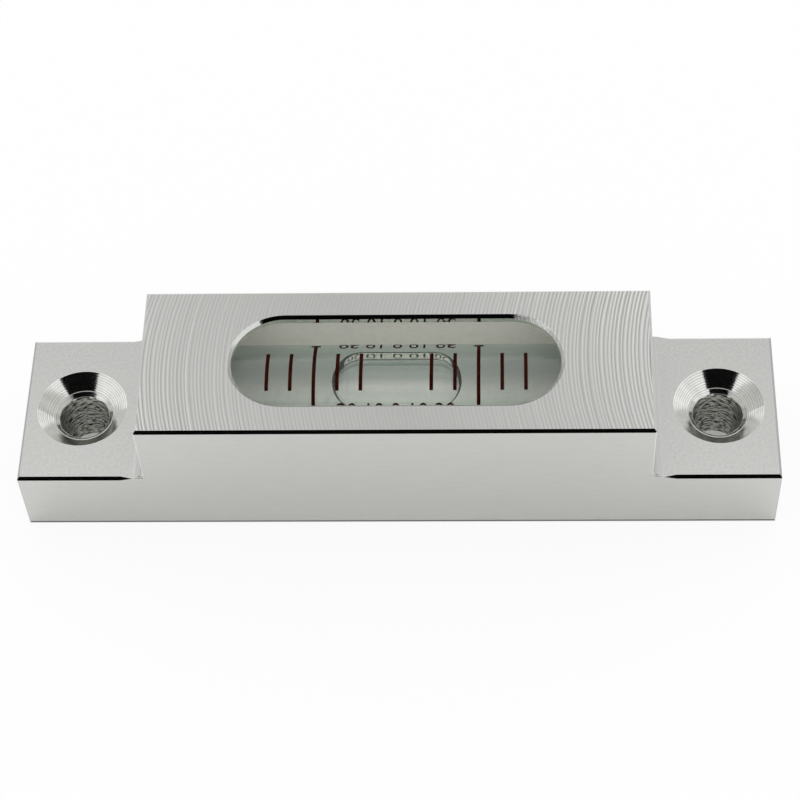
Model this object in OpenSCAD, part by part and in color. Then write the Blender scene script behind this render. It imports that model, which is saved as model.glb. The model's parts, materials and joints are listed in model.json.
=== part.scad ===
// Screw-down bubble level: a machined bar with two countersunk wings and a ground glass vial
// that is loaded from below, bedded in plaster and read through a round-ended window.
// Lengths are in millimetres. X runs along the vial, Y across it and Z up from the base.

/* [Body] */
// Overall length of the bar
body_l = 65.2; // [64:0.1:80]
// Width of the bar
body_w = 14.7; // [14:0.1:20]
// Height of the raised middle
body_h = 14; // [13.5:0.1:18]
// Length of each lowered wing
wing_l = 10.9; // [10.2:0.1:11.2]
// Height of the wings
wing_h = 7; // [5:0.1:9]
// Bevel on the long edges
edge_break = 0.27; // [0.1:0.01:0.4]
// Bevel on the edges across the ends
end_break = 0.2; // [0.1:0.01:0.4]
// Bevel on the upright edges
upright_break = 0.06; // [0.05:0.01:0.4]
// Bevel on the edges of the base
base_break = 0.18; // [0.05:0.01:0.4]
// Fillet where a wing meets the raised middle
step_fillet = 1; // [0.4:0.1:1.4]
// Length by which a wing's long bevels stop short of the raised middle
bevel_stop = 0.9; // [0.4:0.1:2]
// Length over which a wing's long bevels run out
bevel_run = 1.1; // [0.8:0.1:3]

/* [Window] */
// Length of the window over its round ends
window_l = 28; // [26:0.5:33]
// Width of the window
window_w = 8.95; // [8:0.05:9.8]
// Bevel round the window
window_break = 0.29; // [0.1:0.01:0.4]
// Share of the spare height over and under the vial that the roof round the window takes
roof_share = 0.33; // [0.25:0.01:0.45]

/* [Screw holes] */
// Distance from a hole's axis to the end of its wing
hole_edge = 4.95; // [4.5:0.05:5.2]
// Diameter of the screw holes
hole_d = 4.3; // [3.2:0.1:4.8]
// Diameter of the countersink at the wing's top
csk_d = 7.85; // [7:0.05:8.2]
// Diameter where the countersink meets the throat
throat_d = 5.2; // [5:0.1:6.4]
// Depth of the countersink
csk_depth = 1.1; // [0.6:0.1:1.6]
// Flat land between the countersink and the throat
land_w = 0.06; // [0.02:0.02:0.1]
// Depth of the throat that leads into the hole
throat_depth = 0.4; // [0.2:0.1:1]

/* [Vial] */
// Outside diameter of the glass tube
vial_d = 10.3; // [9.9:0.1:10.6]
// Inside diameter of the glass tube
vial_bore_d = 8.3; // [7.9:0.1:8.7]
// Length of the glass tube
vial_l = 36; // [34:0.5:37]
// Radial clearance between the vial and its channel
channel_gap = 0.1; // [0.05:0.05:0.2]
// Thickness of the glass plugs
plug_t = 2.5; // [1.5:0.1:4]
// Radial clearance of the plugs and of the spirit in the bore
bore_gap = 0.03; // [0.02:0.01:0.06]
// Width of the bevel at the tube's mouths, which holds the sealing cement
mouth_bevel = 0.5; // [0.3:0.05:0.55]

/* [Bubble] */
// Length of the bubble
bubble_l = 11.5; // [7:0.1:14]
// Height of the bubble's flat underside above the axis of the vial
bubble_floor = 3; // [2.4:0.05:3.5]
// Radius of the bubble's ends, seen from above
bubble_end_r = 2.8; // [2:0.1:3.4]
// Clearance between the bubble and the bore
bubble_film = 0.1; // [0.08:0.02:0.16]
// Clearance between the bubble and the spirit round it
bubble_gap = 0.08; // [0.08:0.02:0.16]

/* [Graduations] */
// Distance between the two innermost lines
scale_gap = 6; // [4:0.5:8]
// Distance from one line to the next
line_pitch = 2; // [1.5:0.1:2.4]
// Width of a line
line_w = 0.31; // [0.15:0.01:0.5]
// Length of a short line round the glass
short_line_l = 3.9; // [2:0.1:5.5]
// Length of a long line round the glass
long_line_l = 7.4; // [5.8:0.1:9]
// Length of the cross strokes at the ends of a long line
serif_l = 0.8; // [0.5:0.05:1.2]
// Thickness of the ink
ink_t = 0.04; // [0.02:0.01:0.08]

/* [Bedding] */
// Share of the spare height over and under the vial that the plaster under it takes
bed_share = 0.4; // [0.25:0.05:0.5]
// Depth of the plaster's top below the axis of the vial
bed_drop = 2.9; // [1:0.1:4]
// Clearance of the plaster and the pads from the pieces round them
bed_gap = 0.03; // [0.02:0.01:0.06]
// Thickness of the pads at the ends of the vial
pad_t = 1.1; // [0.6:0.1:1.4]

/* [Base plate] */
// Thickness of the base plate
plate_t = 1.2; // [0.8:0.1:1.4]
// Width of the shoulder that the base plate seats on
plate_seat = 0.8; // [0.4:0.1:0.8]
// Corner radius of the base plate
plate_r = 2; // [1:0.1:4]
// Clearance round the base plate
plate_gap = 0.08; // [0.04:0.02:0.12]
// Depth of the base plate inside the base
plate_recess = 0.1; // [0.05:0.05:0.3]

/* [Hidden] */
$fn = 96;
lines_per_side = 5;
long_line_index = 2;
short_line_indices = [for (i = [0 : lines_per_side - 1]) if (i != long_line_index) i];
left = -1;
right = 1;
cut = edge_break;
raised_l = body_l - 2 * wing_l;
hole_x = body_l / 2 - hole_edge;
vial_r = vial_d / 2;
bore_r = vial_bore_d / 2;
channel_r = vial_r + channel_gap;
channel_l = vial_l + 2 * (pad_t + 2 * bed_gap);
plate_l = channel_l + 2 * plate_seat;
plate_w = 2 * (channel_r + plate_seat);
plate_top = plate_recess + plate_t;
spare_h = body_h - plate_top - vial_d;
bed_t = bed_share * spare_h;
roof_t = roof_share * spare_h;
axis_h = plate_top + bed_t + vial_r;
cavity_l = vial_l - 2 * plug_t;
plug_r = bore_r - bore_gap;
bubble_r = bore_r - bubble_film;

function arc_degrees(length) = length / vial_r * 180 / PI;
function line_x(side, index) = side * (scale_gap / 2 + index * line_pitch);

// A rectangle about the origin whose four corners are bevelled by c
module bevelled_rect(l, w, c) {
    x = l / 2;
    y = w / 2;
    polygon([
        [-x + c, -y], [x - c, -y], [x, -y + c], [x, y - c],
        [x - c, y], [-x + c, y], [-x, y - c], [-x, -y + c]
    ]);
}

// An outline on the base line, l long and h high, bevelled at its top corners and at its feet
module standing_rect(l, h, top_break) {
    x = l / 2;
    b = base_break;
    t = top_break;
    polygon([[-x + b, 0], [x - b, 0], [x, b], [x, h - t], [x - t, h], [-x + t, h], [-x, h - t], [-x, b]]);
}

// A box on the base plane with its upright edges and the edges across its ends bevelled
module end_bevelled_box(l, w, h) {
    intersection() {
        linear_extrude(h) bevelled_rect(l, w, upright_break);
        translate([0, w / 2, 0]) rotate([90, 0, 0]) linear_extrude(w) standing_rect(l, h, end_break);
    }
}

// A box on the base plane with all its edges bevelled
module bevelled_box(l, w, h) {
    intersection() {
        end_bevelled_box(l, w, h);
        translate([-l / 2, 0, 0]) rotate([90, 0, 90]) linear_extrude(l) standing_rect(w, h, edge_break);
    }
}

// A rectangle about the origin with round corners
module rounded_rect(l, w, r) {
    square([l - 2 * r, w], center = true);
    square([l, w - 2 * r], center = true);
    for (x = [-1, 1], y = [-1, 1]) translate([x * (l / 2 - r), y * (w / 2 - r)]) circle(r);
}

// A rod along X about the origin
module rod(l, r) {
    translate([-l / 2, 0, 0]) rotate([0, 90, 0]) cylinder(h = l, r = r);
}

// A slot about the origin with round ends of radius r, l long over them
module slot(l, r) {
    half = l / 2 - r;
    square([2 * half, 2 * r], center = true);
    for (x = [-half, half]) translate([x, 0]) circle(r);
}

// The bar's outline: the lower bar, the raised middle and the fillets of the two steps
module bar() {
    intersection() {
        end_bevelled_box(body_l, body_w, wing_h);
        translate([-body_l / 2, 0, 0]) rotate([90, 0, 90]) linear_extrude(body_l) bar_section();
    }
    bevelled_box(raised_l, body_w, body_h);
    for (side = [left, right]) translate([side * raised_l / 2, 0, wing_h]) step_corner(side);
}

// The lower bar's section in Y and Z, bevelled along the base
module bar_section() {
    y = body_w / 2;
    b = base_break;
    polygon([[-y + b, 0], [y - b, 0], [y, b], [y, wing_h], [-y, wing_h], [-y, b]]);
}

// The fillet between a wing and the raised middle
module step_corner(side) {
    r = step_fillet;
    fillet_w = body_w - 2 * upright_break;
    difference() {
        translate([side > 0 ? -cut : -r, -fillet_w / 2, -cut]) cube([r + cut, fillet_w, r + cut]);
        translate([side * r, body_w, r]) rotate([90, 0, 0]) cylinder(h = 2 * body_w, r = r);
    }
}

// What a bevelling cutter takes off along X, on the front or back face of a wing
module bevel_wedge(face) {
    c = edge_break;
    y = face * wing_l;
    translate([-wing_l, 0, 0]) rotate([90, 0, 90]) linear_extrude(2 * wing_l)
        polygon([[0, 0], [-face * 2 * c, 2 * c], [y, 2 * c], [y, 0]]);
}

// The bevel along a wing's long edge, which runs out to nothing near the raised middle
module wing_bevel(side, face) {
    full_x = raised_l / 2 + bevel_stop + bevel_run;
    turn = atan(edge_break / bevel_run);
    translate([side * full_x, face * body_w / 2, wing_h - edge_break]) intersection() {
        bevel_wedge(face);
        rotate([0, 0, -side * face * turn]) bevel_wedge(face);
    }
}

// The window's round-ended opening with its bevel, down to the channel
module window_cut() {
    r = window_w / 2;
    half = window_l / 2 - r;
    b = window_break;
    translate([0, 0, axis_h]) linear_extrude(body_h) slot(window_l, r);
    translate([0, 0, body_h - b]) {
        for (x = [-half, half]) translate([x, 0, 0]) cylinder(h = 2 * b, r1 = r, r2 = r + 2 * b);
        translate([-half, 0, 0]) rotate([90, 0, 90]) linear_extrude(2 * half)
            polygon([[-r, 0], [r, 0], [r + 2 * b, 2 * b], [-r - 2 * b, 2 * b]]);
    }
}

// The channel that takes the vial from below, flat under the roof, and the seat of the base plate
module channel_cut() {
    translate([-channel_l / 2, -channel_r, 0]) cube([channel_l, 2 * channel_r, body_h - roof_t]);
    translate([0, 0, -cut]) linear_extrude(cut + plate_top)
        rounded_rect(plate_l + 2 * plate_gap, plate_w + 2 * plate_gap, plate_r + plate_gap);
}

// One countersunk screw hole about the origin, from the base to above the wing
module screw_hole() {
    csk_r = csk_d / 2;
    throat_r = throat_d / 2;
    csk_slope = (csk_r - throat_r) / csk_depth;
    land_z = wing_h - csk_depth;
    rotate_extrude() polygon([
        [0, -cut], [hole_d / 2, -cut], [hole_d / 2, land_z - throat_depth],
        [throat_r - land_w, land_z], [throat_r, land_z],
        [csk_r + csk_slope * cut, wing_h + cut], [0, wing_h + cut]
    ]);
}

// The machined bar
module body() {
    color("gainsboro") difference() {
        bar();
        channel_cut();
        window_cut();
        for (side = [left, right]) translate([side * hole_x, 0, 0]) screw_hole();
        for (side = [left, right], face = [-1, 1]) wing_bevel(side, face);
    }
}

// The plate that closes the channel in the base
module base_plate() {
    color("silver") translate([0, 0, plate_recess]) linear_extrude(plate_t)
        rounded_rect(plate_l, plate_w, plate_r);
}

// The plaster between the base plate and the vial
module plaster_bed() {
    bed_l = channel_l - 2 * bed_gap;
    bed_w = 2 * (channel_r - bed_gap);
    color("whitesmoke") difference() {
        translate([-bed_l / 2, -bed_w / 2, plate_top]) cube([bed_l, bed_w, axis_h - bed_drop - plate_top]);
        translate([0, 0, axis_h]) rod(channel_l, vial_r + bed_gap);
    }
}

// The ground glass tube, bevelled inside both mouths
module vial_tube() {
    mouth_r = bore_r + mouth_bevel;
    half = vial_l / 2;
    color("lightcyan", 0.4) translate([0, 0, axis_h]) rotate([0, 90, 0]) rotate_extrude() polygon([
        [bore_r, -half + mouth_bevel], [mouth_r, -half], [vial_r, -half],
        [vial_r, half], [mouth_r, half], [bore_r, half - mouth_bevel]
    ]);
}

// A glass plug that closes one end of the bore
module end_plug(side) {
    color("powderblue", 0.6) translate([side * (vial_l - plug_t) / 2, 0, axis_h]) rod(plug_t, plug_r);
}

// The ring of cement in a mouth's bevel, between the tube and its plug
module plug_seal(side) {
    width = mouth_bevel - bore_gap;
    color("ivory") translate([side * vial_l / 2, 0, axis_h]) rotate([0, -side * 90, 0])
        rotate_extrude() polygon([[bore_r, 0], [bore_r + width, 0], [bore_r, width]]);
}

// A cork pad between one end of the vial and the end of the channel
module end_pad(side) {
    color("peru") translate([side * ((vial_l + pad_t) / 2 + bed_gap), 0, axis_h]) rod(pad_t, vial_r);
}

// The bubble's shape: the top of a rod, flat underneath with round ends, grown by gap all round
module bubble_form(gap) {
    r = bubble_r + gap;
    form_l = bubble_l + 2 * gap;
    translate([0, 0, axis_h]) intersection() {
        rod(form_l + 2 * cut, r);
        translate([0, 0, bubble_floor - gap]) linear_extrude(r) slot(form_l, bubble_end_r + gap);
    }
}

// The spirit that fills the bore round the bubble at rest
module spirit() {
    spirit_l = cavity_l - 2 * bore_gap;
    color("honeydew", 0.5) difference() {
        translate([0, 0, axis_h]) rod(spirit_l, plug_r);
        bubble_form(bubble_gap);
    }
}

// The bubble of vapour under the top of the bore
module bubble() {
    color("white", 0.5) bubble_form(0);
}

// A printed stroke on the glass: width runs along X, length round the tube about the angle turn
module stroke(width, length, turn) {
    span = arc_degrees(length);
    translate([0, 0, axis_h]) rotate([turn, 0, 0]) rotate([0, -90, 0]) rotate([0, 0, -span / 2])
        rotate_extrude(angle = span) translate([vial_r, -width / 2]) square([ink_t, width]);
}

// The short lines on one side of the scale
module short_lines(side) {
    color("maroon") for (i = short_line_indices)
        translate([line_x(side, i), 0, 0]) stroke(line_w, short_line_l, 0);
}

// The long line on one side of the scale, with its two cross strokes
module long_line(side) {
    stem_l = long_line_l - line_w;
    serif_turn = arc_degrees(stem_l) / 2;
    color("maroon") translate([line_x(side, long_line_index), 0, 0]) {
        stroke(line_w, stem_l, 0);
        for (turn = [-serif_turn, serif_turn]) stroke(serif_l, line_w, turn);
    }
}

body();
base_plate();
plaster_bed();
vial_tube();
end_plug(left);  // end_plug_left
end_plug(right);  // end_plug_right
plug_seal(left);  // plug_seal_left
plug_seal(right);  // plug_seal_right
end_pad(left);  // end_pad_left
end_pad(right);  // end_pad_right
spirit();
bubble();
short_lines(left);  // short_lines_left
short_lines(right);  // short_lines_right
long_line(left);  // long_line_left
long_line(right);  // long_line_right
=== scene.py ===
# %% [markdown]
# # A screw-down bubble level
# The object is a machined aluminium bar with two lower wings and a round-ended window over a
# ground glass vial. This lesson dresses the solids: each step says what a piece or a finish is
# on the real level, how it could be made, and why it is made this way here.

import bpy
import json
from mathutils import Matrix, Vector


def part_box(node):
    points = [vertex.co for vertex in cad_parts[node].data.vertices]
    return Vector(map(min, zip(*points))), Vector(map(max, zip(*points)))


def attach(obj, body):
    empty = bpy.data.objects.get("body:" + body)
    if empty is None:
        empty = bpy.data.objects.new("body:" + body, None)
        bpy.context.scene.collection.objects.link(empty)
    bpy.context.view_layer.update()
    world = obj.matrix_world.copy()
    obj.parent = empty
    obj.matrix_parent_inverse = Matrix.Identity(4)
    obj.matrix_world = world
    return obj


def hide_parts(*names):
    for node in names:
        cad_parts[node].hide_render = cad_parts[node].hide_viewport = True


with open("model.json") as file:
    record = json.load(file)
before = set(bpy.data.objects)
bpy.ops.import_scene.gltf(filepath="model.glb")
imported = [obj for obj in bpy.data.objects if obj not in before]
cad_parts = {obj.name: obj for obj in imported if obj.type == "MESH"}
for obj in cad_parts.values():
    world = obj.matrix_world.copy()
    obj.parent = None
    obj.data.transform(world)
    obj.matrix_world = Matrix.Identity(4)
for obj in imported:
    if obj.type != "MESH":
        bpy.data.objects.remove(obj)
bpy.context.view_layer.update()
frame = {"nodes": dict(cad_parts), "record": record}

# %% [markdown]
# ## Sizes
# Blender works in metres and a level is drawn in millimetres, so the finishes below are written
# in millimetres. Places are read from the solids or from the record where those tell them, and a
# size that they can't tell is named where it is first needed.

# %% Sizes in millimetres
import json
import math

import bmesh
import bpy
from mathutils import Vector

MM = 0.001
BORE_GAP = 0.03


def box_mm(node):
    """The lowest and highest corner of a solid, in millimetres."""
    low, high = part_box(node)
    return low / MM, high / MM


body_high = box_mm("body")[1]
tube_low, tube_high = box_mm("vial_tube")
plug_low, plug_high = box_mm("end_plug_left")
mounts = {mount["name"]: mount for mount in frame["record"]["mounts"]}
BLOCK_TOP = body_high.z
HOLE_X = mounts["screw_hole_right"]["pos_m"][0] / MM
HOLE_R = mounts["screw_hole_right"]["dims"]["r_mm"]
AXIS_Z = (tube_low.z + tube_high.z) / 2
TUBE_R = (tube_high.z - tube_low.z) / 2
TUBE_HALF = tube_high.x
BORE_R = (plug_high.z - plug_low.z) / 2 + BORE_GAP
CAVITY_HALF = -plug_high.x
print("vial axis at", round(AXIS_Z, 3), "mm")
print("vial radius", round(TUBE_R, 3), "mm, bore radius", round(BORE_R, 3), "mm")

# %% [markdown]
# ## Shader maths as formulas
# A finish is mostly arithmetic on places and masks. Math nodes could be wired by hand, but a
# formula reads better, so one small class wraps a socket: an expression on it adds the nodes.

# %% A socket that does arithmetic
class Wire:
    """One output in a node tree. Arithmetic on it adds Math nodes to the same tree."""

    def __init__(self, tree, socket=None):
        self.tree = tree
        self.socket = socket

    def node(self, kind, settings=None, inputs=None, output=0):
        """Adds any other node: its settings first, then the values or links of its sockets."""
        made = self.tree.nodes.new("ShaderNode" + kind)
        for name, value in (settings or {}).items():
            setattr(made, name, value)
        for name, value in (inputs or {}).items():
            connect(made, name, value)
        return Wire(self.tree, made.outputs[output])

    def pick(self, output):
        """Another output of the node that this one comes from."""
        return Wire(self.tree, self.socket.node.outputs[output])

    def math(self, operation, *values):
        """Adds one Math node."""
        return self.node("Math", {"operation": operation}, dict(enumerate(values)))

    def __add__(self, other):
        return self.math("ADD", self, other)

    def __sub__(self, other):
        return self.math("SUBTRACT", self, other)

    def __rsub__(self, other):
        return self.math("SUBTRACT", other, self)

    def __mul__(self, other):
        return self.math("MULTIPLY", self, other)

    def __truediv__(self, other):
        return self.math("DIVIDE", self, other)

    def __abs__(self):
        return self.math("ABSOLUTE", self)

    __radd__ = __add__
    __rmul__ = __mul__

    def most(self, other):
        """The larger of two values."""
        return self.math("MAXIMUM", self, other)

    def sine(self):
        return self.math("SINE", self)

    def root(self):
        return self.math("SQRT", self)

    def rise(self, low, high):
        """A mask that goes smoothly from 0 at low to 1 at high."""
        inputs = {"Value": self, "From Min": low, "From Max": high}
        return self.node("MapRange", {"interpolation_type": "SMOOTHSTEP"}, inputs)

    def fall(self, low, high):
        """A mask that goes smoothly from 1 at low to 0 at high."""
        return 1 - self.rise(low, high)

    def mix(self, low, high):
        """A colour between low, where this value is 0, and high, where it is 1."""
        return self.node("Mix", {"data_type": "RGBA"}, {0: self, 6: low, 7: high}, 2)

    def stretch(self, x, y, z):
        """This vector, scaled along each axis."""
        return self.node("VectorMath", {"operation": "MULTIPLY"}, {0: self, 1: (x, y, z)})

    def noise(self, scale, detail=2.0):
        """Cloudy noise from 0 to 1 at this place."""
        return self.node("TexNoise", inputs={"Vector": self, "Scale": scale, "Detail": detail})


def connect(node, name, value):
    """Sets one socket of a node to a value, or links it to a wire."""
    if isinstance(value, Wire):
        value.tree.links.new(value.socket, node.inputs[name])
    else:
        node.inputs[name].default_value = value


print("shader maths ready")

# %% [markdown]
# ## Tools for a finish
# Each finish starts from Blender's general shader, works on the place in millimetres, and ends in
# a colour, a roughness and a height. These steps are the same every time, so they are helpers.

# %% Tools for a finish
def start_finish(name, plain):
    """A new material. Values that are the same all over sit on the shader's own sockets."""
    material = bpy.data.materials.new(name)
    material.use_nodes = True
    shader = material.node_tree.nodes["Principled BSDF"]
    for socket, value in plain.items():
        connect(shader, socket, value)
    return material, shader, Wire(material.node_tree)


def place_in_mm(tree):
    """The place on the object in millimetres."""
    place = tree.node("TexCoord", output="Object")
    return place.node("VectorMath", {"operation": "SCALE"}, {0: place, "Scale": 1 / MM})


def split(vector):
    """The x, y and z of a vector."""
    x = vector.node("SeparateXYZ", inputs={0: vector})
    return x, x.pick("Y"), x.pick("Z")


def raised(height):
    """A normal from a height in millimetres."""
    return height.node("Bump", inputs={"Height": height, "Distance": MM})


def dress(node, material):
    """Gives a solid its finish."""
    solid = frame["nodes"][node]
    solid.data.materials.clear()
    solid.data.materials.append(material)
    print("dressed", node, "in", material.name)


print("finish tools ready")

# %% [markdown]
# ## The camera
# The photograph looks down on the level from the front, from about a hand's length away. Its
# place was found by matching the bar's edges, so a near camera with a long lens gives the same
# perspective.

# %% Camera
CAMERA_PLACE = (9.372, -117.298, 177.843)
CAMERA_TURN = (0.60475, 0.03937, 0.02154)
CAMERA_LENS = 107.572
NEAREST_SEEN = 0.01
camera = bpy.data.objects.new("camera", bpy.data.cameras.new("camera"))
camera.location = Vector(CAMERA_PLACE) * MM
camera.rotation_euler = CAMERA_TURN
camera.data.lens = CAMERA_LENS
camera.data.clip_start = NEAREST_SEEN
bpy.context.scene.collection.objects.link(camera)
bpy.context.scene.camera = camera
bpy.context.scene.view_settings.view_transform = "Standard"
print("camera at", [round(v, 4) for v in camera.location])

# %% [markdown]
# ## The surround
# Bright metal is mostly a picture of what stands round it, so the studio is modelled before the
# metal. Lamps would put hard spots on it. A white surround gives soft light from everywhere, a
# little more of it from behind, and is plain white to the eye and in reflections.

# %% White surround
BACK_LIGHT = 0.3
WHITE = (1, 1, 1, 1)


def ray_kinds(tree):
    """1 for rays to the eye, and 1 for rays that arrive by metal or through glass."""
    path = tree.node("LightPath", output="Is Camera Ray")
    return path, path.pick("Is Glossy Ray").most(path.pick("Is Transmission Ray"))


world = bpy.data.worlds.new("white_surround")
world.use_nodes = True
bpy.context.scene.world = world
backdrop = world.node_tree.nodes["Background"]
connect(backdrop, "Color", WHITE)
sky = Wire(world.node_tree)
sky_to_eye, sky_to_mirror = ray_kinds(sky)
seen = sky_to_eye.most(sky_to_mirror)
behind = split(sky.node("TexCoord", output="Generated"))[1]
connect(backdrop, "Strength", seen + (1 - seen) * (1 + BACK_LIGHT * behind))
print("surround gives", 1 + BACK_LIGHT, "from behind and", 1 - BACK_LIGHT, "from the front")

# %% [markdown]
# ## The floor
# The level stands on white paper that keeps its shadow. The paper glows for the eye, which makes it
# read as white, but not in the narrow crack under the bar's edge, where a real bar has its dark
# line: there the paper is painted dark grey, a painted shadow. Where a screw hole shows it, the
# paper is white and glows a little, a painted light that also lights the hole's wall in
# reflections.
# The rest of it under the base is left open, so that light reaches the underside when one looks
# from below.

# %% White paper
FLOOR_HALF = 2.0
FLOOR_DROP = 0.00005
FLOOR_GLOW_SEEN = 0.88
FLOOR_GLOW_MIRRORED = 0.1
# Under a screw hole the paper glows for the eye and in reflections, a painted light.
HOLE_GLOW_SEEN = 0.2
HOLE_GLOW_MIRRORED = 0.15
PAPER_WHITE = (0.97, 0.97, 0.97, 1)
# Painted shadow: the paper's colour in the crack under the bar's edge.
PAPER_PAINTED_SHADOW = (0.25, 0.25, 0.25, 1)
CRACK_DEPTH = 0.3
PAPER_SOFT = 0.05


def hole_distance(x, y):
    """The distance from a place to the axis of the nearer screw hole."""
    aside = abs(x) - HOLE_X
    return (aside * aside + y * y).root()


def stage_mesh(name, points, faces):
    """A mesh that belongs to the studio and not to the level."""
    mesh = bpy.data.meshes.new(name)
    mesh.from_pydata(points, [], faces)
    made = bpy.data.objects.new(name, mesh)
    bpy.context.scene.collection.objects.link(made)
    return made


def paper_finish():
    material, shader, tree = start_finish("white_paper", {"Roughness": 1.0})
    x, y, _ = split(place_in_mm(tree))
    past_edge = (abs(x) - body_high.x).most(abs(y) - body_high.y)
    open_floor = past_edge.rise(-PAPER_SOFT, PAPER_SOFT)
    from_hole = hole_distance(x, y)
    under_hole = from_hole.fall(HOLE_R - PAPER_SOFT, HOLE_R)
    under_base = past_edge.fall(-CRACK_DEPTH - PAPER_SOFT, -CRACK_DEPTH + PAPER_SOFT)
    under_base = under_base * from_hole.rise(HOLE_R + PAPER_SOFT, HOLE_R + 3 * PAPER_SOFT)
    # The paper is painted dark in the crack under the bar's edge, a painted shadow.
    connect(shader, "Base Color", open_floor.most(under_hole).mix(PAPER_PAINTED_SHADOW, PAPER_WHITE))

    to_eye, to_mirror = ray_kinds(tree)
    share = (to_eye * FLOOR_GLOW_SEEN + to_mirror * FLOOR_GLOW_MIRRORED) * open_floor
    # Painted light: the paper under a screw hole glows a little, which lights the hole's wall in
    # reflections.
    share = share + (to_eye * HOLE_GLOW_SEEN + to_mirror * HOLE_GLOW_MIRRORED) * under_hole
    plain = Wire(material.node_tree, shader.outputs[0])
    glow = tree.node("Emission", inputs={"Color": WHITE})
    lit = tree.node("MixShader", inputs={0: share, 1: plain, 2: glow})
    opening = tree.node("BsdfTransparent")
    unseen = tree.node("NewGeometry", output="Backfacing").most(under_base)
    whole = tree.node("MixShader", inputs={0: unseen, 1: lit, 2: opening})
    connect(material.node_tree.nodes["Material Output"], "Surface", whole)
    return material


floor_signs = [(-1, -1), (1, -1), (1, 1), (-1, 1)]
floor_points = [(x * FLOOR_HALF, y * FLOOR_HALF, -FLOOR_DROP) for x, y in floor_signs]
floor = stage_mesh("floor", floor_points, [(0, 1, 2, 3)])
floor.data.materials.append(paper_finish())
print("floor at", -FLOOR_DROP, "m")

# %% [markdown]
# ## Ceiling and front card
# Two curved cards that only reflections show set the metal's tones. A ceiling behind the level is
# dimmer than the surround, so level tops come out grey. A dark card in front turns bevels and parts
# of the countersinks black. Seen from behind, the level tops would mirror that card and turn black
# as well, so it is white to them: a ray from a top is known by the height at which it started.

# %% Ceiling and front card
CEILING_COLOUR = (0.68, 0.68, 0.68, 1)
CEILING_CORNERS = [(90, 28), (270, 28), (90, 89), (270, 89)]
CEILING_AWAY = 0.7
CARD_COLOUR = (0.001, 0.001, 0.001, 1)
CARD_CORNERS = [(-50, 26), (30, 26), (-37, 60), (61, 60)]
CARD_AWAY = 0.5
CARD_COLUMNS = 48
CARD_ROWS = 16
CARD_FADE = 0.3
CARD_SIDES = (0.25, 0.6)
WING_TOP = 7.0
TOP_BAND = 0.01


def card_mesh(name, corners, distance):
    """A card round the object. Its corners are azimuth and elevation in degrees: low left, low
    right, high left, high right."""
    low_left, low_right, high_left, high_right = (Vector(c) for c in corners)
    points = []
    for row in range(CARD_ROWS + 1):
        start = low_left.lerp(high_left, row / CARD_ROWS)
        end = low_right.lerp(high_right, row / CARD_ROWS)
        for column in range(CARD_COLUMNS + 1):
            azimuth, elevation = (math.radians(v) for v in start.lerp(end, column / CARD_COLUMNS))
            level_r = math.cos(elevation)
            points.append((
                distance * level_r * math.sin(azimuth),
                -distance * level_r * math.cos(azimuth),
                distance * math.sin(elevation),
            ))
    wide = CARD_COLUMNS + 1
    faces = [
        (r * wide + c, r * wide + c + 1, (r + 1) * wide + c + 1, (r + 1) * wide + c)
        for r in range(CARD_ROWS) for c in range(CARD_COLUMNS)
    ]
    return stage_mesh(name, points, faces)


def left_a_top(z):
    """1 on a card for rays that left the block's top or a wing's. A ray's start lies back along
    it by its length."""
    back_up = split(z.node("NewGeometry", output="Incoming"))[2]
    start_z = z + back_up * z.node("LightPath", output="Ray Length") / MM
    on_block = abs(start_z - BLOCK_TOP).fall(TOP_BAND, 2 * TOP_BAND)
    on_wing = abs(start_z - WING_TOP).fall(TOP_BAND, 2 * TOP_BAND)
    return on_block.most(on_wing)


def studio_card(name, corners, distance, edge_colour, colour, tops_colour=None):
    """Hangs a card. Its colour fades towards its lower edge and its sides, and it can be another
    colour to the bar's level tops."""
    card = card_mesh(name, corners, distance)
    material = bpy.data.materials.new(name)
    material.use_nodes = True
    x, _, z = split(place_in_mm(Wire(material.node_tree)))
    low_height = math.sin(math.radians(corners[0][1]))
    fade = (z * (MM / distance)).rise(low_height, low_height + CARD_FADE)
    fade = fade * (abs(x) * (MM / distance)).fall(*CARD_SIDES)
    shown = fade.mix(edge_colour, colour)
    if tops_colour:
        shown = left_a_top(z).mix(shown, tops_colour)
    shade = fade.node("Emission", inputs={"Color": shown})
    connect(material.node_tree.nodes["Material Output"], "Surface", shade)
    material.cycles.emission_sampling = "NONE"
    card.data.materials.append(material)
    card.visible_camera = False
    card.visible_diffuse = False
    card.visible_transmission = False
    card.visible_shadow = False
    print("hung", name, "at", distance, "m")


studio_card("ceiling", CEILING_CORNERS, CEILING_AWAY, WHITE, CEILING_COLOUR)
studio_card("front_card", CARD_CORNERS, CARD_AWAY, CARD_COLOUR, CARD_COLOUR, WHITE)

# %% [markdown]
# ## The machined bar
# The bar is milled from one piece of aluminium. A face mill leaves arcs on the block's top, the
# sides are finer, the bevels are cut bright, the countersinks are turned and the drilled holes are
# torn. One finish can hold all of these if masks say where each begins, so the solid stays whole.

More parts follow.
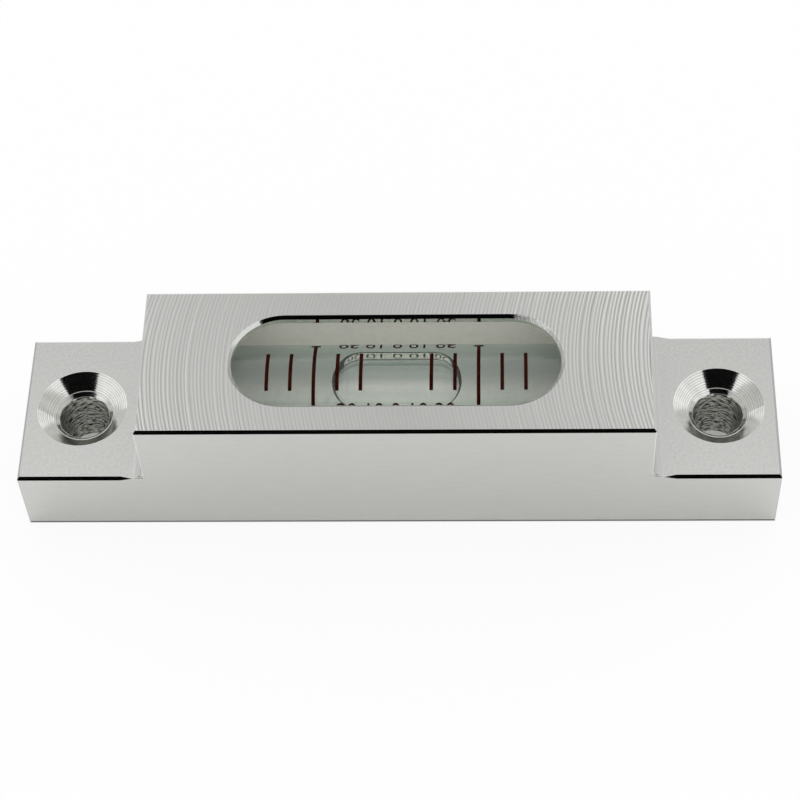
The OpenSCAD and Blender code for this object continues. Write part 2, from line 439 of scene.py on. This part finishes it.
# %% Where each cut lies
BLOCK_HALF = 21.7
COUNTERSINK_R = 3.925
WINDOW_HALF_W = 4.475
WINDOW_HALF_L = 14.0
WINDOW_BREAK = 0.29
WINDOW_ROOM = 0.3
ROOF_T = 0.79
ROOF_LOW = BLOCK_TOP - ROOF_T
VIAL_ROOM = 0.1
BED_GAP = 0.03
CHANNEL_R = TUBE_R + VIAL_ROOM
CHANNEL_HALF = box_mm("plaster_bed")[1].x + BED_GAP
EDGE = 0.02
TOP_SKIN = 0.05
HOLE_EDGE = 0.03
END_FROM = 0.5
END_FULL = 0.3
OUTER_FROM = 0.25
OUTER_FULL = 0.22
FLAT_FACE = (0.97, 0.99)
LEVEL_FACE = (0.9, 0.95)
LEANING_FACE = (0.02, 0.35)
RISING_FACE = (0.15, 0.3)
CROSSING_FACE = (0.1, 0.3)
UPRIGHT_CORNER = (0.3, 0.4)
OFF_BASE = (0.5, 1.0)
RIGHT_RIM = (9.6, 10.4)
RIM_SHADE_TO = (1.2, 2.2)
RIM_SHADE_FURTHER = 1.5


def in_window(x, y, z):
    """1 on the window's wall and its broken edge."""
    wide = abs(y).fall(WINDOW_HALF_W + WINDOW_ROOM, WINDOW_HALF_W + WINDOW_ROOM + EDGE)
    long = abs(x).fall(WINDOW_HALF_L + WINDOW_ROOM, WINDOW_HALF_L + WINDOW_ROOM + EDGE)
    return wide * long * z.rise(ROOF_LOW, ROOF_LOW + EDGE)


def in_channel(x, y, z):
    """1 on the walls of the channel that holds the vial."""
    wide = abs(y).fall(CHANNEL_R + EDGE, CHANNEL_R + 2 * EDGE)
    long = abs(x).fall(CHANNEL_HALF + EDGE, CHANNEL_HALF + 2 * EDGE)
    return wide * long * z.fall(ROOF_LOW + EDGE / 2, ROOF_LOW + EDGE)


class BarCuts:
    """Masks from 0 to 1 that say where on the bar each cut lies. Dull are the fillets and breaks
    that lean along the bar, which are rougher and painted darker, a painted shade; outer are the
    breaks of its two ends, painted a shaded colour; and corner are upright edges, painted white,
    a painted highlight."""

    def __init__(self, facing, x, y, z, rho):
        facing_x, facing_y, up = split(facing)
        along = abs(facing_x)
        across = abs(facing_y)
        self.flat = along.most(across).most(abs(up)).rise(*FLAT_FACE)
        self.level = up.rise(*LEVEL_FACE)
        self.top = z.rise(BLOCK_TOP - TOP_SKIN, BLOCK_TOP - EDGE)
        self.turned = rho.fall(COUNTERSINK_R, COUNTERSINK_R + EDGE) * z.rise(*OFF_BASE)
        self.bored = rho.fall(HOLE_R + HOLE_EDGE, HOLE_R + 2 * HOLE_EDGE)
        self.inside = in_channel(x, y, z)

        ends = abs(x).rise(BLOCK_HALF - END_FROM, BLOCK_HALF - END_FULL) * (1 - self.turned)
        leaning = along.rise(*LEANING_FACE) * up.rise(*RISING_FACE) * across.fall(*CROSSING_FACE)
        # Painted shade: these fillets and breaks get a darker colour as well as more roughness.
        self.dull_shaded = ends * leaning
        last = abs(x).rise(body_high.x - OUTER_FROM, body_high.x - OUTER_FULL)
        # The breaks at the bar's two ends are painted in a shaded colour, a painted shade.
        self.outer = last * (1 - self.flat)
        # Painted highlight: upright corners at the block's ends are painted white.
        self.highlit_corner = ends * (1 - self.outer) * (along * across).rise(*UPRIGHT_CORNER)

        self.window = in_window(x, y, z) * (1 - self.top)
        break_low = BLOCK_TOP - WINDOW_BREAK
        self.rim = self.window * z.rise(break_low - EDGE / 2, break_low + EDGE / 2)
        self.right = x.rise(*RIGHT_RIM)
        # The front of the window's broken edge is painted darker, a painted shade, and made
        # rougher.
        self.shaded_rim = self.rim * (y - RIM_SHADE_FURTHER * self.right).fall(*RIM_SHADE_TO)


print("channel roof at", round(ROOF_LOW, 3), "mm, channel", round(2 * CHANNEL_HALF, 2), "mm long")

# %% [markdown]
# ### Marks of the face mill
# A face mill is a wide cutter, and each of its turns leaves an arc as wide as the cutter. An image
# could show them, but a wave along the distance to the arc gives them at any size. Noise makes the
# pitch and the depth uneven, as they are on a real block.

# %% Milled top and window rim
MILL_RADIUS = 29.0
MILL_PITCH = 0.33
MILL_WANDER = 0.12
MILL_UNEVEN = 0.3
# The top's painted sheen: a darker slanting band near the middle, lighter away from it.
TOP_DARK_X = -2.0
TOP_DARK_LEAN = 0.5
TOP_REACH = 20.0
TOP_SHEEN_DARKER = 0.21
TOP_SHEEN_LIGHTER = 0.18
ARC_TONE = 0.03
ARC_SHEEN_AWAY = 0.3
CHATTER_ALL = 0.1
CHATTER_RIGHT = 1.5


def wavy(distance, pitch):
    """A wave from -1 to 1 with one crest in each pitch."""
    return (distance * (2 * math.pi / pitch)).sine()


def noise_along(distance, scale):
    """Noise from 0 to 1 that changes with one distance only."""
    return distance.node("TexNoise", {"noise_dimensions": "1D"}, {"W": distance, "Scale": scale})


def milled_arcs(place, x, y):
    """The mill's grooves about 0, along the distance to the arc through a place."""
    arc = x - MILL_RADIUS + (MILL_RADIUS**2 - y * y).root()
    wander = place.stretch(1.2, 0.15, 1).noise(1.0, 3.0)
    depth = noise_along(arc, 1.6)
    groove = wavy(arc + wander * MILL_WANDER + depth * MILL_UNEVEN, MILL_PITCH)
    return groove * abs(groove) * (0.3 + 1.4 * depth)


def milled_and_sheen_tone(arcs, x, y):
    """The top's tone, a painted sheen with the mill's arcs in it: darker along a slanting line near
    the middle, where the arcs fade too, and lighter with stronger arcs away from it.
    """
    away = abs(x + TOP_DARK_LEAN * y - TOP_DARK_X) / TOP_REACH
    arc_tone = arcs * (away * away * ARC_SHEEN_AWAY + ARC_TONE)
    return arc_tone + away * TOP_SHEEN_LIGHTER - TOP_SHEEN_DARKER


def rim_chatter(place, cut):
    """Marks about 0 on the window's broken edge, where the cutter shook, mostly at its right."""
    shakes = place.stretch(8, 8, 1).noise(1.0, 2.0) - 0.5
    return cut.rim * (CHATTER_ALL + CHATTER_RIGHT * cut.right) * shakes


print("mill arcs", MILL_PITCH, "mm apart")

# %% [markdown]
# ### Sides, countersinks and holes
# The sides have fine lines along the bar and the wings' tops are mottled. A countersink has rings
# and glints like spokes, which are painted into its colour as painted highlights, and a drill tears
# the wall of its hole in short strokes, painted bright and dark as painted light and shade. Each is
# noise or a wave in the coordinates that its tool moved in: along the bar, out from the hole, or
# round it.

# %% Brushed, turned and drilled marks
RING_PITCH = 0.17
FINE_PITCH = RING_PITCH * 0.37
RING_WANDER = 0.15
TORN_FROM = 0.41
TORN_FULL = 0.55
TORN_SIDE_SHADE = 0.7


def side_grain(place, level):
    """Fine lines along upright faces and mottling on level ones, both about 0."""
    brushed = (1 - level) * (place.stretch(0.5, 9, 9).noise(1.0, 3.0) - 0.5)
    mottled = level * (place.noise(4.0, 5.0) - 0.5)
    return brushed, mottled


def turned_rings(place, rho):
    """The coarse and the fine rings of a countersink, about 0."""
    depth = noise_along(rho, 2.5).rise(0.35, 0.65)
    coarse = wavy(rho + place.noise(0.5, 2.0) * RING_WANDER, RING_PITCH) * (0.3 + depth)
    return coarse, wavy(rho, FINE_PITCH)


def painted_spoke_glints(x, y, rho):
    """Noise about 0 that runs out from the nearer hole like spokes: glints of a turned cone,
    painted into its colour as a painted highlight.
    """
    spokes = {"X": (abs(x) - HOLE_X) / rho * 3, "Y": y / rho * 3, "Z": rho * 0.4 + x * 0.1}
    return rho.node("CombineXYZ", inputs=spokes).noise(1.0, 3.0) - 0.5


def drill_tears(x, y, z):
    """Noise from 0 to 1 in short strokes round the nearer screw hole, as a drill leaves them."""
    round_it = y.math("ARCTAN2", y, abs(x) - HOLE_X) * HOLE_R
    strokes = {"X": round_it * 1.6 + z * 0.4, "Y": z * 5 - round_it}
    return z.node("CombineXYZ", inputs=strokes).noise(1.0, 6.0)


def torn_painted_light(tear, x):
    """1 where torn metal is painted bright as if it caught the light, a painted highlight, with
    less of it at the hole's two sides, a painted shade.
    """
    sideways = (abs(abs(x) - HOLE_X) / HOLE_R).rise(0.5, 1.0)
    return tear.rise(TORN_FROM, TORN_FULL) * (1 - TORN_SIDE_SHADE * sideways)


print("rings", RING_PITCH, "mm apart")

# %% [markdown]
# ### One finish for the bar
# The marks are now put together: a tone between a dark and a light aluminium, a roughness, and a
# height of a few micrometres. The channel's walls are smeared with plaster, so there the finish
# isn't metal, and below the vial's axis they are painted a dark green-grey, a painted shade.

# %% Bar finish
ALUMINIUM_DARK = (0.45, 0.453, 0.435, 1)
ALUMINIUM_LIGHT = (0.95, 0.955, 0.925, 1)
# Painted shade: the darker colour of the fillets and breaks at the block's ends.
ALUMINIUM_DULL_SHADE = (0.56, 0.56, 0.55, 1)
# Painted shade: the colour of the breaks at the bar's two ends.
ALUMINIUM_SHADED = (0.42, 0.42, 0.43, 1)
TORN_DARK = (0.02, 0.02, 0.018, 1)
TORN_HIGHLIGHT = (0.97, 0.97, 0.90, 1)
# Painted shade: the colour of the channel's walls below the vial's axis.
SKIN_PAINTED_SHADE = (0.36, 0.48, 0.42, 1)
SKIN_DARK = (0.80, 0.80, 0.73, 1)
SKIN_LIGHT = (0.92, 0.92, 0.84, 1)
SKIN_FROM = AXIS_Z - 0.5
SKIN_FULL = AXIS_Z + 0.7
MIDDLE_TONE = 0.5
BRUSHED_TONE = 0.2
MOTTLED_TONE = 0.35
LEVEL_PAINTED_LIGHT = 0.11
LEVEL_LIGHT_SLOPE = 0.01
SIDE_DARKER = 0.07
RING_TONE = 0.22
FINE_RING_TONE = 0.07
SPOKE_GLINT_TONE = 0.7
RIM_SHADE_DARKER = 0.27
TORN_UNMETAL = 0.6
CUT_ROUGH = 0.06
FLAT_ROUGHER = 0.2
EDGE_ROUGHER = 0.4
TURNED_ROUGHER = 0.04
TORN_ROUGH = 0.5
SKIN_ROUGHER = 0.6
ARC_H = 0.0008
GRAIN_H = 0.0012
CHATTER_H = 0.04
RING_H = 0.0006
FINE_RING_H = 0.0002
TEAR_H = 0.06


def body_finish():
    material, shader, tree = start_finish("machined_aluminium", {})
    place = place_in_mm(tree)
    x, y, z = split(place)
    rho = hole_distance(x, y)
    cut = BarCuts(tree.node("NewGeometry", output="True Normal"), x, y, z, rho)
    arcs = milled_arcs(place, x, y)
    brushed, mottled = side_grain(place, cut.level)
    chatter = rim_chatter(place, cut)
    rings, fine_rings = turned_rings(place, rho)
    tear = drill_tears(x, y, z)

    side_tone = brushed * BRUSHED_TONE + mottled * MOTTLED_TONE - SIDE_DARKER
    # Level faces are painted lighter, more so towards the front, a painted light.
    side_tone = side_tone + cut.level * (LEVEL_PAINTED_LIGHT - LEVEL_LIGHT_SLOPE * y)
    ring_tone = rings * RING_TONE + fine_rings * FINE_RING_TONE
    # Painted highlight: glints like spokes on the countersinks.
    ring_tone = ring_tone + painted_spoke_glints(x, y, rho) * SPOKE_GLINT_TONE
    unfaced_tone = (1 - cut.turned) * side_tone + cut.turned * ring_tone
    faced = cut.top.most(cut.shaded_rim)
    # The faced top's tone holds the mill's arcs and a painted sheen.
    tone = MIDDLE_TONE + faced * milled_and_sheen_tone(arcs, x, y) + (1 - faced) * unfaced_tone
    # Painted shade: the front of the window's broken edge is darkened.
    tone = tone + chatter - cut.shaded_rim * RIM_SHADE_DARKER

    # The fillets and breaks at the block's ends are painted darker, a painted shade.
    metal = cut.dull_shaded.mix(tone.mix(ALUMINIUM_DARK, ALUMINIUM_LIGHT), ALUMINIUM_DULL_SHADE)
    # Upright corners are painted white, a painted highlight; the ends' breaks get a shaded colour,
    # a painted shade.
    metal = cut.outer.mix(cut.highlit_corner.mix(metal, WHITE), ALUMINIUM_SHADED)
    # The torn wall of a screw hole is the tear pattern painted bright and dark, painted light and
    # shade.
    torn = torn_painted_light(tear, x).mix(TORN_DARK, TORN_HIGHLIGHT)
    smears = place.noise(1.5, 4.0).mix(SKIN_DARK, SKIN_LIGHT)
    # Below the vial's axis the channel's walls are painted dark, a painted shade.
    skin = z.rise(SKIN_FROM, SKIN_FULL).mix(SKIN_PAINTED_SHADE, smears)
    connect(shader, "Base Color", cut.inside.mix(cut.bored.mix(metal, torn), skin))
    connect(shader, "Metallic", 1 - cut.inside - cut.bored * TORN_UNMETAL)

    rough = CUT_ROUGH + cut.flat * (1 - cut.window) * FLAT_ROUGHER
    rough = rough + (cut.dull_shaded + cut.highlit_corner + cut.shaded_rim) * EDGE_ROUGHER + cut.turned * TURNED_ROUGHER
    rough = rough * (1 - cut.bored) + cut.bored * TORN_ROUGH
    connect(shader, "Roughness", rough + cut.inside * SKIN_ROUGHER)

    grain_height = (1 - cut.top) * (1 - cut.turned) * (brushed + mottled) * GRAIN_H
    ring_height = cut.turned * (1 - cut.bored) * (rings * RING_H + fine_rings * FINE_RING_H)
    height = cut.top * arcs * ARC_H + grain_height + chatter * CHATTER_H
    connect(shader, "Normal", raised(height + ring_height + cut.bored * tear * TEAR_H))
    return material


dress("body", body_finish())

# %% [markdown]
# ## The base plate
# The plate that closes the channel is cut from sheet and rubbed flat, so it shows straight fine
# lines along its length. Stretched noise gives such lines without any repeat.

# %% Rubbed plate
PLATE_DARK = (0.52, 0.525, 0.52, 1)
PLATE_LIGHT = (0.70, 0.705, 0.70, 1)
PLATE_ROUGH = 0.28
LINE_ROUGHER = 0.16
LINE_SHARE = 0.7
LINE_H = 0.004


def plate_finish():
    material, shader, tree = start_finish("plate_aluminium", {"Metallic": 1.0})
    place = place_in_mm(tree)
    lines = place.stretch(0.25, 16, 4).noise(1.0, 4.0)
    clouds = place.noise(0.35, 2.0)
    tone = lines * LINE_SHARE + clouds * (1 - LINE_SHARE)
    connect(shader, "Base Color", tone.mix(PLATE_DARK, PLATE_LIGHT))
    connect(shader, "Roughness", PLATE_ROUGH + lines * LINE_ROUGHER)
    connect(shader, "Normal", raised(lines * LINE_H))
    return material


dress("base_plate", plate_finish())

# %% [markdown]
# ## Plaster, cork and cement
# These pieces hold the vial and close its ends. Plaster is white with small pits, cork is brown
# with dark grains, and the cement is a pale smooth ring. They share one recipe: noise between two
# colours with a matching height.

# %% Bedding
PLASTER_WHITE = (0.96, 0.95, 0.92, 1)
PLASTER_PITS = (0.86, 0.85, 0.81, 1)
# Painted shade: the plaster's colour towards the channel's sides.
PLASTER_RIM_SHADE = (0.54, 0.59, 0.55, 1)
CORK_DARK = (0.16, 0.08, 0.04, 1)
CORK_LIGHT = (0.46, 0.28, 0.15, 1)
CEMENT_DARK = (0.58, 0.55, 0.46, 1)
CEMENT_LIGHT = (0.70, 0.68, 0.60, 1)
GREY_FROM = 3.1
GREY_TO = 4.1
GRAIN_SHARE = 0.7
PIT_SHARE = 0.5
PITS_TO_GRAINS = 1.7
GRAIN_RANGE = (0.25, 0.75)


def grainy_finish(name, dark, light, scale, depth, roughness, rim_shade_colour=None):
    """A matte finish of grains between two colours, scale grains to a millimetre. A rim colour
    darkens it towards the channel's sides, a painted shade."""
    material, shader, tree = start_finish(name, {"Roughness": roughness})
    place = place_in_mm(tree)
    grains = place.noise(scale, 5.0)
    pits = place.node("TexVoronoi", inputs={"Vector": place, "Scale": scale * PITS_TO_GRAINS})
    tone = (grains * GRAIN_SHARE + pits * PIT_SHARE).rise(*GRAIN_RANGE)
    colour = tone.mix(dark, light)
    if rim_shade_colour:
        aside = abs(split(place)[1])
        # Painted shade: the plaster turns grey towards the channel's sides.
        colour = aside.rise(GREY_FROM, GREY_TO).mix(colour, rim_shade_colour)
    connect(shader, "Base Color", colour)
    connect(shader, "Normal", raised(tone * depth))
    return material


plaster = grainy_finish(
    "plaster", PLASTER_PITS, PLASTER_WHITE,
    scale=2.5, depth=0.01, roughness=0.9, rim_shade_colour=PLASTER_RIM_SHADE)
cork = grainy_finish(
    "cork", CORK_DARK, CORK_LIGHT,
    scale=2.0, depth=0.06, roughness=0.85)
cement = grainy_finish(
    "sealing_cement", CEMENT_DARK, CEMENT_LIGHT,
    scale=4.0, depth=0.005, roughness=0.45)
dress("plaster_bed", plaster)
for side in ("left", "right"):
    dress("end_pad_" + side, cork)
    dress("plug_seal_" + side, cement)

# %% [markdown]
# ## The glass vial
# The vial is a thick glass tube. Where glass meets air it bends light strongly, and where it meets
# the spirit it hardly does. One closed mesh with two finishes shows both: the outside has the
# index of glass, and the bore has the ratio of the glass's index to the spirit's.

# %% Glass and clear pieces
GLASS_INDEX = 1.5
SPIRIT_INDEX = 1.36
GLASS_CLEAR = (0.98, 0.99, 0.98, 1)
GLASS_GREEN = (0.80, 0.92, 0.85, 1)
BORE_CLEAR = (0.99, 1.0, 0.99, 1)
STREAK_H = 0.0002


def new_piece(name, mesh, body, stands_for=()):
    """Links a mesh to the scene as a piece that moves with a body."""
    piece = bpy.data.objects.new(name, mesh)
    bpy.context.scene.collection.objects.link(piece)
    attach(piece, body)
    if stands_for:
        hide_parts(*stands_for)
    print("made", name, "with", len(mesh.vertices), "points")
    return piece


def let_light_past(piece):
    """Lets soft light reach what lies under a clear piece, as it does through real glass."""
    piece.visible_diffuse = False
    piece.visible_shadow = False


def glass_finish(name, clear, green, index):
    """Glass that is clear on top and greener at its sides, where one looks along its wall, with
    faint streaks from drawing the tube."""
    plain = {"Transmission Weight": 1.0, "Roughness": 0.0, "IOR": index}
    material, shader, tree = start_finish(name, plain)
    place = place_in_mm(tree)
    _, y, z = split(place)
    sideways = (abs(y) / TUBE_R).rise(0.25, 0.6) * z.rise(AXIS_Z, AXIS_Z + 1)
    connect(shader, "Base Color", sideways.mix(clear, green))
    streaks = place.stretch(0.05, 1.5, 1.5).noise(1.0, 2.0)
    connect(shader, "Normal", raised(streaks * STREAK_H))
    return material


print("index of the glass", GLASS_INDEX, "and in the bore", round(GLASS_INDEX / SPIRIT_INDEX, 3))

# %% Tube
MOUTH_BEVEL = 0.5
TUBE_SIDES = 192
BORE_SIDE = 3
SHARP_EDGE = math.radians(30)


def on_ring(x, radius, k, sides):
    """Point k of a ring round the vial's axis, in metres."""
    turn = 2 * math.pi * k / sides
    return Vector((x, radius * math.sin(turn), AXIS_Z + radius * math.cos(turn))) * MM


def smooth_sides(mesh):
    """Shades a turned mesh smooth, apart from its sharp edges."""
    mesh.polygons.foreach_set("use_smooth", [True] * len(mesh.polygons))
    mesh.set_sharp_from_angle(angle=SHARP_EDGE)


def lathe(name, profile, sides, material_of):
    """Turns a closed profile of (x, radius) points about the vial's axis."""
    points = [on_ring(x, radius, k, sides) for x, radius in profile for k in range(sides)]
    faces = []
    slots = []
    count = len(profile)
    for i in range(count):
        j = (i + 1) % count
        for k in range(sides):
            n = (k + 1) % sides
            faces.append((i * sides + k, j * sides + k, j * sides + n, i * sides + n))
            slots.append(material_of(i))
    mesh = bpy.data.meshes.new(name)
    mesh.from_pydata(points, [], faces)
    mesh.polygons.foreach_set("material_index", slots)
    smooth_sides(mesh)
    return mesh


tube_profile = [
    (-TUBE_HALF, TUBE_R),
    (TUBE_HALF, TUBE_R),
    (TUBE_HALF, BORE_R + MOUTH_BEVEL),
    (TUBE_HALF - MOUTH_BEVEL, BORE_R),
    (MOUTH_BEVEL - TUBE_HALF, BORE_R),
    (-TUBE_HALF, BORE_R + MOUTH_BEVEL),
]
tube_mesh = lathe("glass_tube", tube_profile, TUBE_SIDES, lambda i: 1 if i == BORE_SIDE else 0)
outer_glass = glass_finish("vial_glass", GLASS_CLEAR, GLASS_GREEN, GLASS_INDEX)
bore_glass = glass_finish("bore_glass", BORE_CLEAR, BORE_CLEAR, GLASS_INDEX / SPIRIT_INDEX)
tube_mesh.materials.append(outer_glass)
tube_mesh.materials.append(bore_glass)
let_light_past(new_piece("glass_tube", tube_mesh, "housing", ["vial_tube"]))

# %% [markdown]
# ## Plugs and spirit
# The plugs are short glass rods. The spirit fills the bore: its bending of light is already in the
# bore's finish, so the spirit itself is only a faint tint that lets everything through.

# %% Plugs and spirit
SPIRIT_ALPHA = 0.01
SPIRIT_DARK = (0.70, 0.80, 0.74, 1)
SPIRIT_LIGHT = (0.78, 0.88, 0.82, 1)
SPIRIT_SIDES = 128
SPIRIT_BEVEL = 0.1


def spirit_finish():
    material, shader, tree = start_finish("spirit", {"Alpha": SPIRIT_ALPHA, "Roughness": 0.1})
    connect(shader, "Base Color", place_in_mm(tree).noise(0.4).mix(SPIRIT_DARK, SPIRIT_LIGHT))
    return material


def rod(name, half, radius, sides, bevel):
    """A closed rod along the vial with bevelled ends."""
    profile = [
        (-half, radius - bevel),
        (bevel - half, radius),
        (half - bevel, radius),
        (half, radius - bevel),
    ]
    made = bmesh.new()
    rings = [[made.verts.new(on_ring(x, r, k, sides)) for k in range(sides)] for x, r in profile]
    for low, high in zip(rings, rings[1:]):
        for k in range(sides):
            n = (k + 1) % sides
            made.faces.new((low[n], low[k], high[k], high[n]))
    made.faces.new(rings[0])
    made.faces.new(reversed(rings[-1]))
    bmesh.ops.recalc_face_normals(made, faces=made.faces)
    mesh = bpy.data.meshes.new(name)
    made.to_mesh(mesh)
    made.free()
    smooth_sides(mesh)
    return mesh


plug_glass = glass_finish("plug_glass", GLASS_CLEAR, GLASS_GREEN, GLASS_INDEX)
for side in ("left", "right"):
    dress("end_plug_" + side, plug_glass)
spirit_r = BORE_R - BORE_GAP
spirit_half = CAVITY_HALF - BORE_GAP
spirit_mesh = rod("spirit_fill", spirit_half, spirit_r, SPIRIT_SIDES, SPIRIT_BEVEL)
spirit_mesh.materials.append(spirit_finish())
let_light_past(new_piece("spirit_fill", spirit_mesh, "housing", ["spirit"]))

# %% [markdown]
# ## The bubble
# A bubble lies against the top of the bore, flat underneath, with a rounded rim where the spirit
# clings to it. A scaled sphere would look like an egg, so its points are pushed out to a shape that
# is written as a formula: the bore's own round, cut by the level surface, with the rim softened.
# Softening takes some of the rim away, so the shape starts a little deeper and longer.

# %% Bubble
RIM_SOFTNESS = 0.8
RIM_SINK = 0.3
RIM_REACH = 0.28
BUBBLE_RINGS = 64
BUBBLE_SIDES = 128
HALVINGS = 40
VAPOUR_GREY = (0.97, 0.98, 0.97, 1)
bubble_low, bubble_high = box_mm("bubble")
BUBBLE_R = bubble_high.z - AXIS_Z
BUBBLE_FLOOR = bubble_low.z - AXIS_Z - RIM_SINK
BUBBLE_HALF = bubble_high.x + RIM_REACH


def bubble_distance(point):
    """Below 0 inside the bubble: a round-ended rod and the level surface, softly joined."""
    half_w = math.sqrt(BUBBLE_R**2 - BUBBLE_FLOOR**2)
    straight = BUBBLE_HALF - half_w
    beyond = max(abs(point.x) - straight, 0.0)
    rod_d = math.sqrt(beyond**2 + point.y**2 + point.z**2) - BUBBLE_R
    level_d = BUBBLE_FLOOR - point.z
    overlap = max(RIM_SOFTNESS - abs(rod_d - level_d), 0.0) / RIM_SOFTNESS
    return max(rod_d, level_d) + overlap**2 * RIM_SOFTNESS / 4


def reach(centre, direction):
    """How far the bubble's skin lies from its centre in a direction, by halving."""
    near = 0.0
    far = 2 * BUBBLE_HALF
    for _ in range(HALVINGS):
        middle = (near + far) / 2
        if bubble_distance(centre + direction * middle) < 0:
            near = middle
        else:
            far = middle
    return near


def bubble_mesh():
    """A sphere whose points are moved out or in to the bubble's skin."""
    made = bmesh.new()
    bmesh.ops.create_uvsphere(made, u_segments=BUBBLE_SIDES, v_segments=BUBBLE_RINGS, radius=1.0)
    half = (bubble_high - bubble_low) / 2
    centre = Vector((0, 0, (BUBBLE_R + BUBBLE_FLOOR) / 2))
    for vert in made.verts:
        ray = Vector((vert.co.x * half.x, vert.co.y * half.y, vert.co.z * half.z)).normalized()
        skin = centre + ray * reach(centre, ray)
        vert.co = (skin + Vector((0, 0, AXIS_Z))) * MM
    mesh = bpy.data.meshes.new("vapour_bubble")
    made.to_mesh(mesh)
    made.free()
    mesh.polygons.foreach_set("use_smooth", [True] * len(mesh.polygons))
    return mesh


def bubble_finish():
    plain = {"Transmission Weight": 1.0, "Roughness": 0.0, "IOR": 1 / SPIRIT_INDEX}
    material, shader, tree = start_finish("bubble", plain)
    connect(shader, "Base Color", place_in_mm(tree).noise(0.6).mix(VAPOUR_GREY, WHITE))
    return material


vapour = bubble_mesh()
vapour.materials.append(bubble_finish())
let_light_past(new_piece("vapour_bubble", vapour, "bubble", ["bubble"]))

# %% [markdown]
# ## The printed scale
# The lines are printed on the glass in a dark red-brown ink that is a little uneven. They are thin
# solids already, so they only need the ink's finish: noise between two browns, with hardly any
# shine, because a bright reflection would grey such a dark colour.

# %% Ink
INK_DARK = (0.012, 0.001, 0.0004, 1)
INK_LIGHT = (0.042, 0.005, 0.002, 1)
INK_ROUGH = 0.5
INK_SHINE = 0.02
INK_GRAIN_H = 0.01


def ink_finish():
    plain = {"Roughness": INK_ROUGH, "Specular IOR Level": INK_SHINE}
    material, shader, tree = start_finish("ink", plain)
    coat = place_in_mm(tree).noise(3.0, 4.0)
    connect(shader, "Base Color", coat.rise(0.3, 0.7).mix(INK_DARK, INK_LIGHT))
    connect(shader, "Normal", raised(coat * INK_GRAIN_H))
    return material


ink = ink_finish()
for side in ("left", "right"):
    dress("short_lines_" + side, ink)
    dress("long_line_" + side, ink)

# %% [markdown]
# ## The numbers
# Plain numbers stand beside the lines on both sides of the vial. They could be drawn point by
# point, but a font gives their outlines. The flat figures are cut into strips and wrapped round the
# tube, which puts them on the glass.

# %% Numbers
NUMBERS = "20 10 0 10 20"
NUMBER_H = 1.25
NUMBER_EDGE = 33.5
INK_T = 0.03
WRAP_STRIPS = 6


def flat_numbers(text, height):
    """Flat figures about x 0 with their feet on y 0, as a bmesh in millimetres."""
    curve = bpy.data.curves.new("figures", "FONT")
    curve.body = text
    curve.align_x = "CENTER"
    curve.extrude = INK_T / 2
    writer = bpy.data.objects.new("figures", curve)
    bpy.context.scene.collection.objects.link(writer)
    made = bmesh.new()
    made.from_mesh(writer.to_mesh())
    writer.to_mesh_clear()
    bpy.data.objects.remove(writer)
    bpy.data.curves.remove(curve)
    top = max(v.co.y for v in made.verts)
    for vert in made.verts:
        vert.co.x *= height / top
        vert.co.y *= height / top
    return made


def wrapped_numbers(name, facing):
    """The figures on one side of the vial, with their heads towards its top."""
    made = flat_numbers(NUMBERS, NUMBER_H)
    for k in range(1, WRAP_STRIPS):
        level = NUMBER_H * k / WRAP_STRIPS
        whole = made.verts[:] + made.edges[:] + made.faces[:]
        bmesh.ops.bisect_plane(made, geom=whole, plane_co=(0, level, 0), plane_no=(0, 1, 0))
    for vert in made.verts:
        across, up, out = vert.co
        turn = math.radians(NUMBER_EDGE) + (NUMBER_H - up) / TUBE_R
        radius = TUBE_R + INK_T / 2 + out
        vert.co = Vector((
            -facing * across,
            facing * radius * math.sin(turn),
            AXIS_Z + radius * math.cos(turn),
        )) * MM
    mesh = bpy.data.meshes.new(name)
    made.to_mesh(mesh)
    made.free()
    mesh.materials.append(ink)
    new_piece(name, mesh, "housing")


wrapped_numbers("numbers_front", -1)
wrapped_numbers("numbers_back", 1)
